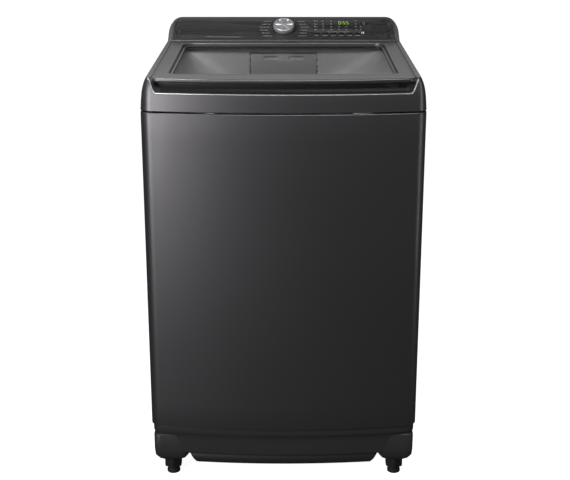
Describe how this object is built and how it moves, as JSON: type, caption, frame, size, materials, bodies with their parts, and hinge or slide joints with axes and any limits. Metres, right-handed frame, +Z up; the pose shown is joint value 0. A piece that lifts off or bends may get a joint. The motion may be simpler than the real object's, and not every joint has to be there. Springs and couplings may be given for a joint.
{
  "type": "top load washing machine",
  "caption": "Free-standing top load washing machine with a smoked glass lid, a sloped control console with a selector knob, and a plastic base on levelling feet.",
  "frame": {"origin": "on the floor under the centre of the machine's overall box", "axes": "+X to the right seen from the front, +Y to the rear, +Z up"},
  "size_m": [0.64, 0.69, 1.048],
  "materials": {
    "shell": "satin titanium grey paint",
    "shell_plastic": "satin titanium grey moulding",
    "zinc_sheet": "galvanised sheet",
    "base_plastic": "dark grey moulding",
    "liner_plastic": "satin grey moulding",
    "gloss_panel": "glossy dark panel",
    "cap_plastic": "metallic grey",
    "bright_trim": "bright trim",
    "knob_metal": "spun metal",
    "board": "circuit board",
    "white_plastic": "white moulding",
    "steel": "plain steel",
    "drum_steel": "stainless steel",
    "rubber": "black rubber",
    "motor_paint": "motor housing",
    "cast": "cast housing",
    "smoked_glass": "smoked toughened glass"
  },
  "bodies": {
    "cabinet": {"cabinet_wrap": "shell", "rear_panel": "zinc_sheet", "base_frame": "base_plastic", "bottom_guard": "base_plastic", "top_cover": "shell_plastic", "mouth_liner": "liner_plastic", "console_housing": "base_plastic", "end_caps": "cap_plastic", "control_fascia": "gloss_panel", "fascia_trim": "bright_trim", "knob_ring": "gloss_panel", "circuit_boards": "board", "inlet_valves": "white_plastic", "dispenser_housing": "white_plastic", "lid_hinge_brackets": "zinc_sheet", "lid_lock": "base_plastic", "corner_braces": "zinc_sheet", "suspension_rods": "steel", "suspension_springs": "steel", "drain_outlet": "white_plastic", "drain_bellows": "rubber", "cord_inlet": "base_plastic", "cabinet_screws": "steel"},
    "tub_group": {"tub": "white_plastic", "tub_cover": "white_plastic", "mounting_plate": "zinc_sheet", "gearbox": "cast", "bearings": "steel", "water_seal": "rubber", "motor": "motor_paint", "drain_valve": "white_plastic", "suspension_cups": "white_plastic", "drive_belt": "rubber"},
    "basket_group": {"basket": "drum_steel", "basket_base": "white_plastic", "balance_ring": "white_plastic", "spin_shaft": "steel", "lint_filters": "drum_steel"},
    "agitator": {"pulsator": "white_plastic", "pulsator_cap": "drum_steel", "wash_shaft": "steel", "driven_pulley": "steel"},
    "motor_rotor": {"motor_pulley": "steel"},
    "lid": {"lid_frame": "shell_plastic", "lid_inner_frame": "base_plastic", "lid_glass": "smoked_glass", "lid_hinge_pins": "steel"},
    "selector": {"knob": "knob_metal"},
    "drawer": {"detergent_drawer": "white_plastic"},
    "option_1": {"key_1": "gloss_panel"},
    "option_2": {"key_2": "gloss_panel"},
    "option_3": {"key_3": "gloss_panel"},
    "option_4": {"key_4": "gloss_panel"},
    "option_5": {"key_5": "gloss_panel"},
    "option_6": {"key_6": "gloss_panel"},
    "power_button": {"key_power": "gloss_panel"},
    "foot_front_left": {"foot_front_left": "rubber"},
    "foot_front_right": {"foot_front_right": "rubber"},
    "foot_rear_left": {"foot_rear_left": "rubber"},
    "foot_rear_right": {"foot_rear_right": "rubber"}
  },
  "joints": [
    {"name": "lid_hinge", "type": "hinge", "parent": "cabinet", "child": "lid", "pos_m": [0, 0.21399, 0.99122], "axis": [-1, 0, 0], "range_deg": [0, 98]},
    {"name": "selector_turn", "type": "hinge", "parent": "cabinet", "child": "selector", "pos_m": [0, 0.26743, 1.02375], "axis": [0, -0.4833, 0.8755], "continuous": true},
    {"name": "drawer_slide", "type": "slide", "parent": "cabinet", "child": "drawer", "axis": [0, -1, 0], "range_m": [0, 0.1]},
    {"name": "option_1_press", "type": "slide", "parent": "cabinet", "child": "option_1", "axis": [0, 0.4833, -0.8755], "range_m": [0, 0.0008], "stiffness_N_per_m": 400, "springref_m": -0.0008},
    {"name": "option_2_press", "type": "slide", "parent": "cabinet", "child": "option_2", "axis": [0, 0.4833, -0.8755], "range_m": [0, 0.0008], "stiffness_N_per_m": 400, "springref_m": -0.0008},
    {"name": "option_3_press", "type": "slide", "parent": "cabinet", "child": "option_3", "axis": [0, 0.4833, -0.8755], "range_m": [0, 0.0008], "stiffness_N_per_m": 400, "springref_m": -0.0008},
    {"name": "option_4_press", "type": "slide", "parent": "cabinet", "child": "option_4", "axis": [0, 0.4833, -0.8755], "range_m": [0, 0.0008], "stiffness_N_per_m": 400, "springref_m": -0.0008},
    {"name": "option_5_press", "type": "slide", "parent": "cabinet", "child": "option_5", "axis": [0, 0.4833, -0.8755], "range_m": [0, 0.0008], "stiffness_N_per_m": 400, "springref_m": -0.0008},
    {"name": "option_6_press", "type": "slide", "parent": "cabinet", "child": "option_6", "axis": [0, 0.4833, -0.8755], "range_m": [0, 0.0008], "stiffness_N_per_m": 400, "springref_m": -0.0008},
    {"name": "power_press", "type": "slide", "parent": "cabinet", "child": "power_button", "axis": [0, 0.4833, -0.8755], "range_m": [0, 0.0008], "stiffness_N_per_m": 400, "springref_m": -0.0008},
    {"name": "tub_bounce", "type": "slide", "parent": "cabinet", "child": "tub_group", "axis": [0, 0, 1], "range_m": [-0.02, 0.008], "stiffness_N_per_m": 16000, "springref_m": 0.02, "deforming": ["suspension_springs", "drain_bellows"]},
    {"name": "basket_spin", "type": "hinge", "parent": "tub_group", "child": "basket_group", "pos_m": [0, -0.015, 0.4], "axis": [0, 0, 1], "continuous": true},
    {"name": "agitator_turn", "type": "hinge", "parent": "tub_group", "child": "agitator", "pos_m": [0, -0.015, 0.28], "axis": [0, 0, 1], "continuous": true},
    {"name": "motor_turn", "type": "hinge", "parent": "tub_group", "child": "motor_rotor", "pos_m": [0.12728, -0.14228, 0.1], "axis": [0, 0, 1], "continuous": true},
    {"name": "foot_front_left_turn", "type": "hinge", "parent": "cabinet", "child": "foot_front_left", "pos_m": [-0.273, -0.275, 0.03], "axis": [0, 0, 1], "continuous": true},
    {"name": "foot_front_right_turn", "type": "hinge", "parent": "cabinet", "child": "foot_front_right", "pos_m": [0.273, -0.275, 0.03], "axis": [0, 0, 1], "continuous": true},
    {"name": "foot_rear_left_turn", "type": "hinge", "parent": "cabinet", "child": "foot_rear_left", "pos_m": [-0.273, 0.257, 0.03], "axis": [0, 0, 1], "continuous": true},
    {"name": "foot_rear_right_turn", "type": "hinge", "parent": "cabinet", "child": "foot_rear_right", "pos_m": [0.273, 0.257, 0.03], "axis": [0, 0, 1], "continuous": true}
  ],
  "couplings": [
    {"joint": "motor_turn", "follows": "agitator_turn", "ratio": 3}
  ]
}
